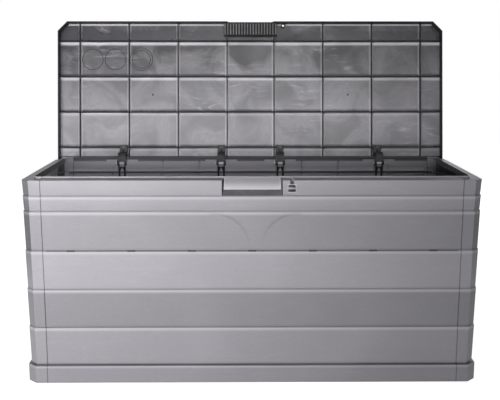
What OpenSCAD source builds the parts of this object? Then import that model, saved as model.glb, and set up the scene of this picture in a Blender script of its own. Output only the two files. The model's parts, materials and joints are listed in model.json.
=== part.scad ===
// Deck storage box: moulded resin panels standing in a plinth tray, with a ribbed lid on four hinges.
// The origin is on the ground at the middle of the footprint, +Z up, the front faces -Y.
// The lid is modelled closed and turned to its open stop, which is the rest pose.

/* [Body] */
// Width of the body across its top boards
body_w = 1180; // [1100:10:1320]
// Depth of the body from the front face to the rear face
body_d = 444; // [420:2:520]
// Height of the rim that the lid's skirt closes on
rim_h = 540; // [480:5:640]
// Wall thickness of the panels
wall = 3; // [2.6:0.1:3.6]
// Leg of the 45 degree chamfer on the vertical corners
corner_cut = 20; // [14:1:26]
// Reach of a side panel round the corner, from the side face to the seam
corner_post = 50; // [44:1:64]
// Gap at the seams between the panels
seam_gap = 0.8; // [0.4:0.1:1.4]

/* [Boards] */
// Number of full boards moulded in each wall
board_count = 4; // [3:1:5]
// Height of each of the two narrow boards at the top
narrow_board_h = 40; // [36:1:48]
// How far the foot of a board leans in behind its top edge
board_lean = 1.8; // [1:0.1:2.4]
// Depth of the shadow groove at the foot of a board
groove_d = 1.4; // [0.8:0.1:1.8]
// Height of the shadow groove
groove_h = 2.4; // [1.6:0.1:3.4]
// Inward draft of the walls from the rim to the ground
wall_draft = 2.4; // [0:0.1:4]

/* [Plinth] */
// Height of the plinth
plinth_h = 48; // [40:1:60]
// How far the plinth stands proud of the walls
plinth_proud = 6; // [4:0.5:10]
// Thickness of the plinth skirt and of the floor
plinth_wall = 3.4; // [2.8:0.1:4]
// Thickness of the ribs under the floor
floor_rib_t = 3; // [2:0.1:4]
// Depth of the groove that the panels stand in
panel_groove_d = 9; // [6:0.5:12]
// Clearance on each side of a panel's foot in its groove
foot_clear = 0.3; // [0.2:0.05:0.5]

/* [Rim] */
// Width of the ledge round the opening
ledge_w = 29; // [24:1:34]
// Rise of the front ledge towards the opening
ledge_rise = 3.6; // [2:0.1:4.4]
// Height of the curb round the opening above the rim
curb_h = 6.5; // [5:0.5:8]
// Thickness of the curb
curb_t = 3; // [2.4:0.1:3.6]
// Depth of the lip under the curb
lip_h = 9; // [6:0.5:14]
// Radius of the corners of the opening
opening_r = 14; // [6:1:20]
// Height of the rear wall above the rim
rear_rise = 5; // [4:0.5:6]

/* [Finger recess] */
// Width of the recess at the front face
recess_w = 156; // [120:2:200]
// Depth of the recess at its top
recess_d = 23; // [18:1:24]
// Depth of the recess at the foot of its back wall
recess_foot_d = 17; // [12:1:18]
// Height of the ramp at the bottom of the recess
recess_ramp_h = 13; // [9:0.5:16]
// How much each side of the recess closes in towards its back
recess_side_in = 6; // [2:0.5:8]

/* [Padlock catch] */
// Distance of the catch from the middle of the box
catch_x = 101; // [96:1:120]
// Width of the catch window
catch_w = 19; // [16:0.5:22]
// Height of the catch window
catch_h = 18; // [17:0.5:20]
// Height of the bar across the window
catch_bar_h = 5; // [4:0.5:6]
// Width of the neck above the window
catch_neck_w = 10; // [8.5:0.5:12]
// Radius of the shackle hole in the lid
shackle_r = 4; // [3.5:0.1:4.5]
// Length of the shackle hole
shackle_l = 12; // [9:0.5:16]

/* [Hand grips] */
// Width of the hand grip on each side
handle_w = 118; // [90:2:140]
// Reach of the hand grip from the side face
handle_d = 9; // [7:0.5:10]

/* [Lid] */
// Height of the lid from the foot of its skirt to its top
lid_h = 33; // [31:0.5:38]
// Thickness of the lid shell and its skirt
lid_wall = 3; // [2.4:0.1:3.4]
// Overhang of the lid in front of the body
lid_front = 1.5; // [0.5:0.5:3]
// Overhang of the lid behind the body
lid_rear = 12; // [11:0.5:16]
// Leg of the chamfer on the lid's front corners
lid_cut = 29; // [20:1:36]
// Height of the ribs inside the lid
rib_h = 14; // [10:0.5:15]
// Thickness of the ribs inside the lid
rib_t = 2.6; // [2:0.1:3.2]
// Distance from the lid's front edge to its first board joint
first_joint = 58; // [54:1:64]
// Number of board joints across the lid
joint_count = 4; // [3:1:5]
// Distance from the hinge axis to the last board joint
last_joint = 50.5; // [48:0.5:56]
// Distance from the last board joint to the rib over the rear skirt
rear_rib_in = 29; // [26:0.5:32]
// Distance from a hinge to the rib beside it
rib_beside = 17.5; // [16:0.5:24]
// Width of the V groove at a board joint
vee_w = 10; // [8:0.5:16]
// Depth of the V groove
vee_d = 3; // [2:0.1:4]
// Chamfer along the lid's top edges
lid_edge = 3; // [1.5:0.1:4]

/* [Grip] */
// Width of the grip insert
grip_w = 162; // [130:2:190]
// Depth of the grip insert from the skirt
grip_d = 38; // [30:1:42]
// Number of ribs on the grip insert
grip_ribs = 19; // [9:1:25]
// Height of the notch in the lid's front skirt over the grip
notch_h = 13; // [8:0.5:16]

/* [Hinges] */
// Distance of the inner hinges from the middle
hinge_x_in = 90; // [80:1:110]
// Distance of the outer hinges from the end of the body
hinge_x_end = 198; // [170:1:200]
// Length of the pocket in the rear wall round each hinge
pocket_l = 96; // [80:1:110]
// Height of the stiffening bead inside the rear wall
bead_h = 12; // [8:0.5:14]
// How far the bead stands proud of the wall
bead_d = 3.5; // [2:0.1:4]
// Distance of the hinge axis in front of the rear face
axis_in = 10; // [9.5:0.1:11]
// Height of the hinge axis below the rim
axis_drop = 13; // [12:0.5:15]
// Angle between the closed lid and its open stop
open_angle = 100; // [95:1:104]
// Radius of the hinge pin
pin_r = 2.3; // [1.8:0.1:2.6]
// Radial clearance of the pin in its bores
pin_clear = 0.05; // [0.03:0.01:0.09]
// Side clearance between the arm and the bracket
side_clear = 0.3; // [0.2:0.05:0.5]
// Radius of the hinge eyes
eye_r = 5.4; // [5:0.1:5.6]
// Gap between the arm and the rear wall at the open stop
stop_gap = 0.35; // [0.3:0.05:0.6]
// Shank radius of the screws
screw_r = 1.8; // [1.5:0.1:2.1]

/* [Hidden] */
$fn = 48;
// Overlap that joins two solids, and how far a cut or a rib runs past the face that it meets
eps = 0.01;
past = 1;
// Length of a drill that passes right through a hinge piece
through = 60;

half_w = body_w / 2;
half_d = body_d / 2;
seam_x = half_w - corner_post;
panel_w = 2 * seam_x - seam_gap;

// Boards: the joints' heights, counted from the plinth up
full_board_h = (rim_h - 2 * narrow_board_h - plinth_h) / board_count;
board_total = board_count + 2;
board_edge_soft = 0.9;

// Rim
curb_z = rim_h + curb_h;
opening_w = body_w - 2 * ledge_w;
opening_front = -half_d + ledge_w;
rear_top = rim_h + rear_rise;

// Plinth
tray_w = body_w - 2 * wall_draft + 2 * plinth_proud;
tray_d = body_d - 2 * wall_draft + 2 * plinth_proud;
tray_cut = corner_cut + plinth_proud / 2;
tray_edge_h = 2;
tray_edge_in = 1.4;
tray_ribs_x = 10;
tray_ribs_y = 4;
// A panel's foot hangs behind its lowest board
foot_in = wall_draft + board_lean + groove_d + 0.4;
foot_t = wall;
channel_wall = 3;
panel_gap = 1.6;
foot_z = plinth_h - panel_groove_d;
foot_h = panel_groove_d + panel_gap + 8;
// Laps behind the seams
lap_w = 14;
lap_t = 2.4;
lap_root = 5;
lap_clear = 0.3;
lap_drop = 24;

// Inner ribs of the panels: two between the hinges and one towards each corner
rib_in = 66;
rib_between = 111;
rib_end = 170;
panel_rib_x = [hinge_x_in + rib_in, hinge_x_in + rib_in + rib_between, half_w - rib_end];
panel_rib_t = 2.4;
panel_rib_d = 9;
rib_start = 12;
rib_neck = 40;
rib_shoulder = 12;
side_rib_pitch = 80;
side_rib_y = [for (k = [0:3]) (k - 1.5) * side_rib_pitch];

// Front panel
curb_soft = 0.6;
recess_lip = 0.6;
catch_drop = 12;
catch_z = rim_h - catch_drop - catch_h / 2;
catch_pocket_d = 13;
slot_pitch = 156;
slot_l = 20;
slot_h = 2;
slot_d = 1.1;
slots_beside = 3;

// Side panels; the hand grip fills the height of the top board
curb_end = 30;
handle_t = 2.6;
handle_z = joint_z(board_total - 1) + 4;
handle_top = rim_h - 1;

// Lid
lid_top = rim_h + lid_h;
lid_under = lid_top - lid_wall;
lid_y0 = -half_d - lid_front;
lid_y1 = half_d + lid_rear;
skirt_gap = 0.5;
skirt_z = rim_h + skirt_gap;
rear_skirt_z = rear_top - 1;
lid_rear_cut = corner_cut;
rib_z = lid_under - rib_h;
rib_embed = 0.4;
skin_open = 5;
gate_r = 3;
gate_h = 1;
joint_y0 = lid_y0 + first_joint;
joint_y1 = half_d - axis_in - last_joint;
joint_y = [for (k = [0:joint_count - 1]) joint_y0 + k * (joint_y1 - joint_y0) / (joint_count - 1)];
// Ribs from front to back: one beside each hinge, one between and one beyond
hinge_x_out = half_w - hinge_x_end;
rib_pitch = (hinge_x_out - hinge_x_in) / 2;
rib_x = [for (k = [0:3]) hinge_x_in - rib_beside + k * rib_pitch];
shackle_in = 1.5;
shackle_y = lid_y0 + lid_wall + shackle_r + shackle_in;
shackle_wall = 2.6;

// Grip
grip_clear = 0.3;
grip_plate_t = 2.4;
grip_rib_h = 1.6;
grip_z = curb_z + grip_rib_h + 1;
grip_front = lid_y0 + lid_wall + grip_clear;
grip_rib_t = 3.2;
grip_rib_end = 3;
grip_rib_in = 2;
notch_w = grip_w - 22;
notch_r = 8;

// Hinges: the eyes of the arm stand outside the two legs of the bracket
axis_y = half_d - axis_in;
axis_z = rim_h - axis_drop;
hinge_x = [-hinge_x_out, -hinge_x_in, hinge_x_in, hinge_x_out];
leg_t = 3.6;
leg_out = 11;
leg_in = leg_out - leg_t;
fork_in = leg_out + side_clear;
fork_t = 3.8;
fork_out = fork_in + fork_t;
bore_r = pin_r + pin_clear;
wall_in = axis_in - wall;
bar_end = 34;
bar_bottom = -eye_r;
bar_bend = 13;
riser_t = 8;
yoke_end = 15;
hub_clear = eye_r + 2.4;
flange_t = 4;
flange_w = 23;
flange_far = last_joint + 6.5;
flange_near = 9;
flange_gap = 0.6;
pad_t = 8;
web_t = 3;
web_h = 13;
web_near = 3;
web_far = 12;
flange_top = lid_under - pad_t - axis_z;
plate_t = 3.6;
// The pad behind a bracket covers the foot of the top board
pad_d = wall + board_lean + groove_d + 0.5;
plate_y = axis_in - pad_d;
plate_top = -11;
foot_top = -45;
plate_bottom = -58;
plate_w = 32;
foot_slope = 2;
// The bracket's legs narrow from the eyes to the knee above its foot
knee_u = -24;
knee_in = 5.6;
knee_out = 10.2;
pocket_z0 = rim_h - 20;
pocket_z1 = rim_h - 3;
pocket_deep = 1;
bead_room = 1;
// Screws
screw_clear = 0.05;
screw_room = 0.4;
driver_l = 20;
screw_head_r = 3.6;
screw_head_h = 2.2;
screw_l = 8;
arm_screw_s = [-flange_far + 5, -flange_near - 8];
bracket_screw_x = 10;
bracket_screw_u = (foot_top + plate_bottom) / 2;
wall_screw_l = plate_t + pad_d - board_lean - 0.8;
// Pins
pin_head_r = 4.2;
pin_head_t = 1.5;
pin_end = 1.6;
pin_tip_h = 0.8;
pin_tip_in = 0.7;

// A drafted wall stands this far behind the top edge's plane at height z
function draft(z) = wall_draft * (rim_h - z) / rim_h;

// Height of board joint i, from 0 at the plinth to board_total at the rim
function joint_z(i) = i <= board_count
    ? plinth_h + i * full_board_h
    : rim_h - (board_total - i) * narrow_board_h;

// Outline of the stacked boards as [distance behind the face, height], from the plinth up
board_line = [for (i = [0:board_total - 1])
    let (z0 = joint_z(i) + (i == 0 ? panel_gap : 0), z1 = joint_z(i + 1))
    each [
        [board_lean + groove_d + draft(z0), z0],
        [board_lean + groove_d + draft(z0), z0 + groove_h / 2],
        [board_lean + draft(z0), z0 + groove_h],
        [draft(z1), z1 - board_edge_soft],
        [draft(z1) + (i == board_total - 1 ? 0 : board_edge_soft), z1]
    ]];

// Points and their mirror images across the middle, in order round the outline
function both_sides(points) =
    concat(points, [for (i = [len(points) - 1:-1:0]) [-points[i].x, points[i].y]]);

// The space that the boards of one pair of opposite walls enclose, as a cross-section
module board_section(half, shift) {
    line = [for (p = board_line) [half - p[0] - shift, p[1] - shift]];
    low = shift > 0 ? -past : joint_z(0) + panel_gap;
    high = shift > 0 ? rim_h + past : rim_h;
    polygon(both_sides([[line[0].x, low], each line, [line[len(line) - 1].x, high]]));
}

// One pair of walls, running along X when turn is 0
module board_pair(half, shift, turn) {
    rotate([0, 0, turn])
        rotate([90, 0, 90])
            linear_extrude(2 * body_w, center = true)
                board_section(half, shift);
}

// All four walls and the chamfered corners between them
module board_block(shift) {
    corner_half = (half_w + half_d - corner_cut) / sqrt(2);
    intersection() {
        board_pair(half_d, shift, 0);
        board_pair(half_w, shift, 90);
        board_pair(corner_half, shift, 45);
        board_pair(corner_half, shift, -45);
    }
}

// Plan of the body or the lid with chamfered corners
function cut_plan(x, y0, y1, front_cut, rear_cut) = [
    [-x + front_cut, y0], [x - front_cut, y0], [x, y0 + front_cut], [x, y1 - rear_cut],
    [x - rear_cut, y1], [-x + rear_cut, y1], [-x, y1 - rear_cut], [-x, y0 + front_cut]];

// The same plan moved in by t on every side
function inner_plan(x, y0, y1, front_cut, rear_cut, t) =
    cut_plan(x - t, y0 + t, y1 - t, front_cut - t * (2 - sqrt(2)), rear_cut - t * (2 - sqrt(2)));

// Rectangle from x0,y0 to x1,y1 with round corners
module round_rect(x0, y0, x1, y1, r) {
    translate([x0 + r, y0]) square([x1 - x0 - 2 * r, y1 - y0]);
    translate([x0, y0 + r]) square([x1 - x0, y1 - y0 - 2 * r]);
    for (x = [x0 + r, x1 - r], y = [y0 + r, y1 - r]) translate([x, y]) circle(r);
}

// Section along X of a panel that lies in the YZ plane
module along_x(x0, x1) {
    translate([x0, 0, 0])
        rotate([90, 0, 90])
            linear_extrude(x1 - x0)
                children();
}

// ---- plinth tray ----

module tray_plan(t) {
    polygon(inner_plan(tray_w / 2, -tray_d / 2, tray_d / 2, tray_cut, tray_cut, t));
}

module body_plan(t) {
    polygon(inner_plan(half_w, -half_d, half_d, corner_cut, corner_cut, t));
}

module base_tray() {
    channel_out = foot_in - foot_clear;
    channel_in = foot_in + foot_t + foot_clear;
    inner_w = tray_w - 2 * plinth_wall;
    inner_d = tray_d - 2 * plinth_wall;
    color([0.36, 0.36, 0.38]) difference() {
        union() {
            // Skirt with a softened top edge
            difference() {
                union() {
                    linear_extrude(plinth_h - tray_edge_h)
                        tray_plan(0);
                    translate([0, 0, plinth_h - tray_edge_h - eps])
                        linear_extrude(tray_edge_h + eps)
                            tray_plan(tray_edge_in);
                }
                translate([0, 0, -past])
                    linear_extrude(plinth_h - plinth_wall + past)
                        tray_plan(plinth_wall);
            }
            // Channel that holds the feet of the panels
            translate([0, 0, foot_z - channel_wall])
                linear_extrude(panel_groove_d + channel_wall - eps)
                    difference() {
                        body_plan(channel_out - channel_wall);
                        body_plan(channel_in + channel_wall);
                    }
            // Ribs under the floor, flush with the foot of the skirt
            for (i = [1:tray_ribs_x - 1])
                translate([(i / tray_ribs_x - 0.5) * inner_w - floor_rib_t / 2, -inner_d / 2 - past, 0])
                    cube([floor_rib_t, inner_d + 2 * past, plinth_h - plinth_wall + eps]);
            for (j = [1:tray_ribs_y - 1])
                translate([-inner_w / 2 - past, (j / tray_ribs_y - 0.5) * inner_d - floor_rib_t / 2, 0])
                    cube([inner_w + 2 * past, floor_rib_t, plinth_h - plinth_wall + eps]);
        }
        translate([0, 0, foot_z])
            linear_extrude(panel_groove_d + past)
                difference() {
                    body_plan(channel_out);
                    body_plan(channel_in);
                }
    }
}

// ---- front and rear panels, drawn as the front wall; side is -1 in front, 1 at the rear ----

// Distance behind the face turned into Y
function behind(d) = -half_d + d;

// The wall of boards between the seams
module board_wall() {
    difference() {
        along_x(-panel_w / 2, panel_w / 2)
            difference() {
                board_section(half_d, 0);
                board_section(half_d, wall);
                square([body_d, rim_h + 2 * past]);
            }
        // The lowest boards end above the plinth
        translate([-half_w, -half_d - past, -2 * past])
            cube([body_w, body_d, joint_z(0) + panel_gap + 2 * past]);
    }
    // Foot that stands in the tray's channel
    along_x(-panel_w / 2, panel_w / 2)
        translate([behind(foot_in), foot_z])
            square([foot_t, foot_h]);
}

// Strips that lap behind the side panels' corner posts, each on a rib at the panel's end
module laps() {
    lap_z = joint_z(0) + panel_gap;
    lap_h = rim_h - lap_drop - joint_z(0);
    lap_y = behind(foot_in + wall + lap_clear);
    root_x = seam_x - lap_root;
    for (s = [-1, 1]) {
        translate([s * (root_x + lap_w / 2) - lap_w / 2 - lap_root, lap_y, lap_z])
            cube([lap_w + 2 * lap_root, lap_t, lap_h]);
        along_x(s * root_x - panel_rib_t / 2, s * root_x + panel_rib_t / 2)
            intersection() {
                translate([behind(0), lap_z])
                    square([foot_in + wall + past, lap_h]);
                board_section(half_d, wall / 2);
            }
    }
}

// Vertical ribs on the inner face, deeper under the ledge when it has one
module panel_ribs(top, ledge) {
    rib_back = foot_in + wall + panel_rib_d;
    ledge_back = ledge_w - curb_t - past;
    for (s = [-1, 1], x = panel_rib_x)
        along_x(s * x - panel_rib_t / 2, s * x + panel_rib_t / 2)
            intersection() {
                polygon(concat(
                    [[behind(0), joint_z(0) + rib_start], [behind(rib_back), joint_z(0) + 2 * rib_start]],
                    ledge
                        ? [[behind(rib_back), top - rib_neck], [behind(ledge_back), top - rib_shoulder],
                            [behind(ledge_back), top]]
                        : [[behind(rib_back), top - rib_shoulder / 2]],
                    [[behind(0), top]]));
                board_section(half_d, wall / 2);
            }
}

// Ledge and curb along the front of the opening
module front_rim() {
    along_x(-panel_w / 2, panel_w / 2)
        polygon([
            [behind(0), rim_h - wall], [behind(0), rim_h],
            [behind(ledge_w - curb_t), rim_h + ledge_rise],
            [behind(ledge_w - curb_t), curb_z - curb_soft], [behind(ledge_w - curb_t + curb_soft), curb_z],
            [behind(ledge_w - curb_soft), curb_z], [behind(ledge_w), curb_z - curb_soft],
            [behind(ledge_w), rim_h - lip_h], [behind(ledge_w - curb_t), rim_h - lip_h],
            [behind(ledge_w - curb_t), rim_h + ledge_rise - wall]]);
}

// Solid of the finger recess, grown by t for its shell; as a shell it ends below the curb
module recess_form(t) {
    foot = joint_z(board_total - 1);
    top = t > 0 ? curb_z - curb_soft : curb_z + past;
    side = recess_w / 2 + t;
    back = recess_d + t;
    intersection() {
        // Section: a ramp, then a back wall that leans away
        along_x(-side, side)
            polygon([
                [behind(-past - t), foot - 0.8 * t], [behind(recess_lip), foot - 0.8 * t],
                [behind(recess_foot_d + t), foot + recess_ramp_h - 0.6 * t],
                [behind(back), top], [behind(-past - t), top]]);
        // Plan: the sides close in towards the back
        translate([0, 0, foot - lip_h])
            linear_extrude(rim_h - foot + 3 * lip_h)
                polygon(both_sides([
                    [side, behind(-past)], [side, behind(0)], [side - recess_side_in, behind(back + past)]]));
    }
}

// Window, bar and neck of the padlock catch
module catch_cut() {
    bar = [0, 0, -catch_bar_h / 2];
    for (hole = [[catch_w, -catch_h / 2, catch_h], [catch_neck_w, 0, catch_drop + catch_h]])
        translate([catch_x - hole[0] / 2, behind(-past), catch_z])
            difference() {
                translate([0, 0, hole[1]])
                    cube([hole[0], catch_pocket_d + past, hole[2]]);
                translate([-past, 0, 0] + bar)
                    cube([hole[0] + 2 * past, wall + 2 * past, catch_bar_h]);
            }
}

// Short slots in the joint under the second full board from the top
module joint_slots() {
    z = joint_z(board_count - 1);
    for (k = [-slots_beside:slots_beside])
        translate([k * slot_pitch - slot_l / 2, behind(-past), z - slot_h / 5])
            cube([slot_l, past + board_lean + groove_d + draft(z) + slot_d, slot_h]);
}

module front_panel() {
    color([0.62, 0.61, 0.64]) difference() {
        union() {
            board_wall();
            laps();
            panel_ribs(rim_h - past, true);
            front_rim();
            // Shell of the finger recess, up to the ledge
            intersection() {
                recess_form(wall);
                along_x(-recess_w, recess_w)
                    polygon([[behind(recess_lip), 0], [behind(recess_lip), rim_h - wall / 2],
                        [behind(ledge_w - curb_t), rim_h + ledge_rise - wall / 2], [behind(ledge_w), rim_h],
                        [behind(ledge_w), 0]]);
            }
        }
        recess_form(0);
        catch_cut();
        joint_slots();
    }
}

module rear_panel() {
    color([0.5, 0.5, 0.52]) mirror([0, 1, 0]) difference() {
        rear_wall();
        for (x = hinge_x, s = [-1, 1])
            translate([x + s * bracket_screw_x, behind(pad_d + past), axis_z + bracket_screw_u])
                rotate([90, 0, 0])
                    cylinder(r = screw_r + screw_clear, h = past + wall_screw_l - plate_t + screw_room);
        // Shallow pocket in the inner face round each hinge
        for (x = hinge_x)
            along_x(x - pocket_l / 2, x + pocket_l / 2)
                intersection() {
                    translate([-half_d, pocket_z0])
                        square([half_d, pocket_z1 - pocket_z0]);
                    board_section(half_d, wall - pocket_deep);
                }
    }
}

module rear_wall() {
    joint = joint_z(board_total - 1);
    pad_z0 = axis_z + plate_bottom - 2;
    edge = wall / 3;
    board_wall();
    laps();
    panel_ribs(rim_h - wall, false);
    // The wall runs on above the rim, with a soft top edge
    along_x(-panel_w / 2, panel_w / 2)
        polygon([
            [behind(0), rim_h - past], [behind(0), rear_top - edge], [behind(edge), rear_top],
            [behind(wall - edge), rear_top], [behind(wall), rear_top - edge], [behind(wall), rim_h - past]]);
    // Pads behind the hinge brackets
    for (x = hinge_x)
        along_x(x - plate_w / 2, x + plate_w / 2)
            intersection() {
                translate([behind(0), pad_z0])
                    square([pad_d, axis_z + plate_top - pad_z0]);
                board_section(half_d, wall / 2);
            }
    // Bead that stiffens the wall over the joint, left out behind the brackets
    difference() {
        along_x(-panel_w / 2, panel_w / 2)
            intersection() {
                polygon([
                    [behind(0), joint + bead_h], [behind(foot_in + wall - board_lean), joint + bead_h],
                    [behind(foot_in + wall + bead_d), joint + bead_h / 4],
                    [behind(foot_in + wall), joint - past], [behind(0), joint - past]]);
                board_section(half_d, wall / 2);
            }
        for (x = hinge_x)
            along_x(x - plate_w / 2 - bead_room, x + plate_w / 2 + bead_room)
                translate([behind(pad_d), joint - bead_h])
                    square([foot_in + wall + bead_d, 3 * bead_h]);
    }
}

// ---- side panels ----

// Ledge, curb and rear upstand of the panel at positive X
module side_rim() {
    translate([0, 0, rim_h - wall])
        linear_extrude(wall)
            difference() {
                side_plan(0);
                opening_plan(0);
            }
    translate([0, 0, rim_h - lip_h])
        linear_extrude(curb_z - rim_h + lip_h)
            intersection() {
                difference() {
                    opening_plan(curb_t);
                    opening_plan(0);
                }
                side_plan(0);
                translate([0, -body_d])
                    square([body_w, body_d + half_d - curb_end]);
            }
    // Rear upstand that carries on from the rear panel
    translate([0, 0, rim_h - eps])
        linear_extrude(rear_rise + eps)
            intersection() {
                difference() {
                    side_plan(0);
                    side_plan(wall);
                }
                translate([0, half_d - wall])
                    square([body_w, wall + past]);
            }
}

module side_plan(t) {
    intersection() {
        body_plan(t);
        translate([seam_x, -body_d])
            square([body_w, 2 * body_d]);
    }
}

// The opening, with round front corners; it runs back to the rear wall
module opening_plan(grow) {
    round_rect(-opening_w / 2 - grow, opening_front - grow, opening_w / 2 + grow,
        half_d - wall + (grow > 0 ? grow : 0), opening_r + grow);
    translate([-opening_w / 2 - grow, 0])
        square([opening_w + 2 * grow, half_d - wall]);
}

// Section across Y of something on the side panel, centred at y
module across_y(y, w) {
    translate([0, y + w / 2, 0])
        rotate([90, 0, 0])
            linear_extrude(w)
                children();
}

// Hand grip on the side: a lip that stands out under the rim, open below
module side_grip() {
    root = half_w - board_lean - wall / 5;
    out = half_w + handle_d;
    shoulder = handle_top - handle_d;
    lip = [[root, handle_top], [out, shoulder], [out, handle_z], [root, handle_z]];
    across_y(0, handle_w)
        difference() {
            polygon(lip);
            polygon([[root, handle_z - past], [half_w + eps, handle_z - past],
                [half_w + eps, handle_top - 1.4 * handle_t], [out - handle_t, shoulder - handle_t / 2],
                [out - handle_t, handle_z - past]]);
        }
    for (s = [-1, 1])
        across_y(s * (handle_w - handle_t) / 2, handle_t)
            polygon(lip);
}

module side_panel() {
    intersection() {
        difference() {
            board_block(0);
            board_block(wall);
        }
        translate([seam_x, -body_d, joint_z(0) + panel_gap])
            cube([body_w, 2 * body_d, rim_h]);
    }
    side_rim();
    side_grip();
    // Foot that stands in the tray's channel
    translate([0, 0, foot_z])
        linear_extrude(foot_h)
            difference() {
                side_plan(foot_in);
                body_plan(foot_in + foot_t);
            }
    // Inner ribs
    rib_back = half_w - foot_in - wall - panel_rib_d;
    ledge_in = half_w - ledge_w + curb_t + past;
    for (y = side_rib_y)
        across_y(y, panel_rib_t)
            intersection() {
                polygon([[half_w, joint_z(0) + rib_start], [rib_back, joint_z(0) + 2 * rib_start],
                    [rib_back, rim_h - rib_neck], [ledge_in, rim_h - rib_shoulder],
                    [ledge_in, rim_h - past], [half_w, rim_h - past]]);
                board_section(half_w, wall / 2);
            }
}

module left_side_panel() {
    color([0.42, 0.42, 0.44]) mirror([1, 0, 0]) side_panel();
}

module right_side_panel() {
    color([0.42, 0.42, 0.44]) side_panel();
}

// ---- lid, drawn closed ----

// Turns a closed piece of the lid to the open stop
module opened() {
    translate([0, axis_y, axis_z])
        rotate([-open_angle, 0, 0])
            translate([0, -axis_y, -axis_z])
                children();
}

// Top line of the lid from front to rear, with a V groove at each board joint, lowered by t
function lid_line(t) = [for (y = joint_y) each [
    [y - vee_w / 2, lid_top - t], [y, lid_top - vee_d - t], [y + vee_w / 2, lid_top - t]]];

// Solid inside the lid's outer skin, moved in by t
module lid_form(t) {
    low = skirt_z - (t > 0 ? skin_open : 0);
    x = half_w - t;
    y0 = lid_y0 + t;
    y1 = lid_y1 - t;
    top = lid_top - t;
    soft = lid_edge - t * (2 - sqrt(2));
    intersection() {
        along_x(-half_w - past, half_w + past)
            polygon(concat([[y0, low], [y0, top - soft], [y0 + soft, top]], lid_line(t),
                [[y1 - soft, top], [y1, top - soft], [y1, low]]));
        translate([0, lid_y1 + past, 0])
            rotate([90, 0, 0])
                linear_extrude(lid_y1 - lid_y0 + 2 * past)
                    polygon([[-x, low], [-x, top - soft], [-x + soft, top], [x - soft, top],
                        [x, top - soft], [x, low]]);
        translate([0, 0, low])
            linear_extrude(lid_top - low)
                polygon(inner_plan(half_w, lid_y0, lid_y1, lid_cut, lid_rear_cut, t));
    }
}

// Grid of ribs under the lid shell
module lid_ribs() {
    for (y = joint_y)
        translate([-half_w + past, y - rib_t / 2, rib_z])
            cube([body_w - 2 * past, rib_t, rib_h - vee_d + past]);
    translate([-half_w + past, joint_y1 + rear_rib_in - rib_t / 2, rib_z])
        cube([body_w - 2 * past, rib_t, rib_h + past]);
    for (s = [-1, 1], x = rib_x)
        translate([s * x - rib_t / 2, lid_y0 + past, rib_z])
            cube([rib_t, lid_y1 - lid_y0 - 2 * past, rib_h + past]);
}

module lid_shell() {
    color([0.45, 0.45, 0.47]) opened() difference() {
        union() {
            difference() {
                lid_form(0);
                lid_form(lid_wall);
                // The rear skirt is shorter, so that it swings clear of the rear wall
                translate([-half_w - past, half_d - past, skirt_z - past])
                    cube([body_w + 2 * past, lid_rear + 2 * past, rear_skirt_z - skirt_z + past]);
            }
            intersection() {
                lid_form(rib_embed);
                union() {
                    lid_ribs();
                    // Pads that the hinge arms are screwed to
                    for (x = hinge_x)
                        translate([x - flange_w / 2, axis_y - flange_far, lid_under - pad_t])
                            cube([flange_w, flange_far - flange_near, pad_t + past]);
                    // Boss round the shackle hole
                    translate([catch_x, shackle_y, lid_top - shackle_l])
                        cylinder(r = shackle_r + shackle_wall, h = shackle_l);
                }
            }
            // Gate marks of the moulding
            for (s = [-1, 1])
                translate([s * 2 * rib_pitch, (joint_y[1] + joint_y[2]) / 2, lid_under - gate_h])
                    cylinder(r = gate_r, h = gate_h + rib_embed);
        }
        // Shackle hole
        translate([catch_x, shackle_y, lid_top - shackle_l - past])
            cylinder(r = shackle_r, h = shackle_l + 2 * past);
        // Notch in the front skirt over the finger recess
        translate([0, lid_y0 + lid_wall + past / 5, skirt_z - past])
            rotate([90, 0, 0])
                linear_extrude(lid_wall + past)
                    round_rect(-notch_w / 2, -notch_r, notch_w / 2, notch_h + past, notch_r);
        // Seat of the grip insert
        translate([-grip_w / 2 - grip_clear, lid_y0 + lid_wall, grip_z - past])
            cube([grip_w + 2 * grip_clear, grip_d + 2 * grip_clear, lid_under - grip_z + past]);
        // Room for the hinge arms' flanges across the ribs
        for (x = hinge_x)
            translate([x - flange_w / 2 - flange_gap, axis_y - flange_far - flange_gap, rib_z - past])
                cube([flange_w + 2 * flange_gap, flange_far + 2 * flange_gap, rib_h - pad_t + past]);
        // Screw holes in the hinge pads
        for (x = hinge_x, s = arm_screw_s)
            translate([x, axis_y + s, lid_under - pad_t - past])
                cylinder(r = screw_r + screw_clear, h = past + screw_l - flange_t + screw_room);
    }
}

// Ribbed grip under the lid's front edge
module grip_insert() {
    pitch = (grip_w - 2 * grip_rib_end) / (grip_ribs - 1);
    floor_z = grip_z + grip_plate_t;
    color([0.2, 0.2, 0.21]) opened() {
        difference() {
            translate([-grip_w / 2, grip_front, grip_z])
                cube([grip_w, grip_d, lid_under - grip_clear - grip_z]);
            translate([-grip_w / 2 + grip_plate_t, grip_front + grip_plate_t, floor_z])
                cube([grip_w - 2 * grip_plate_t, grip_d - 2 * grip_plate_t, lid_h]);
        }
        for (k = [0:grip_ribs - 1])
            translate([-grip_w / 2 + grip_rib_end + k * pitch - grip_rib_t / 2, grip_front + grip_rib_in,
                grip_z - grip_rib_h])
                cube([grip_rib_t, grip_d - 2 * grip_rib_in, grip_rib_h + eps]);
    }
}

// ---- hinges, drawn about their own axis: s is towards the rear, u is up ----

// Puts a hinge piece on the axis at x
module on_axis(x) {
    translate([x, axis_y, axis_z]) children();
}

// Slabs on both sides of the hinge, each t thick from x outwards, with their outline in s and u
module both_legs(x, t) {
    for (side = [-1, 1])
        along_x(side * (x + t / 2) - t / 2, side * (x + t / 2) + t / 2)
            children();
}

// Bore of the pin
module axle_bore() {
    rotate([0, 90, 0])
        cylinder(r = bore_r, h = through, center = true);
}

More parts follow.
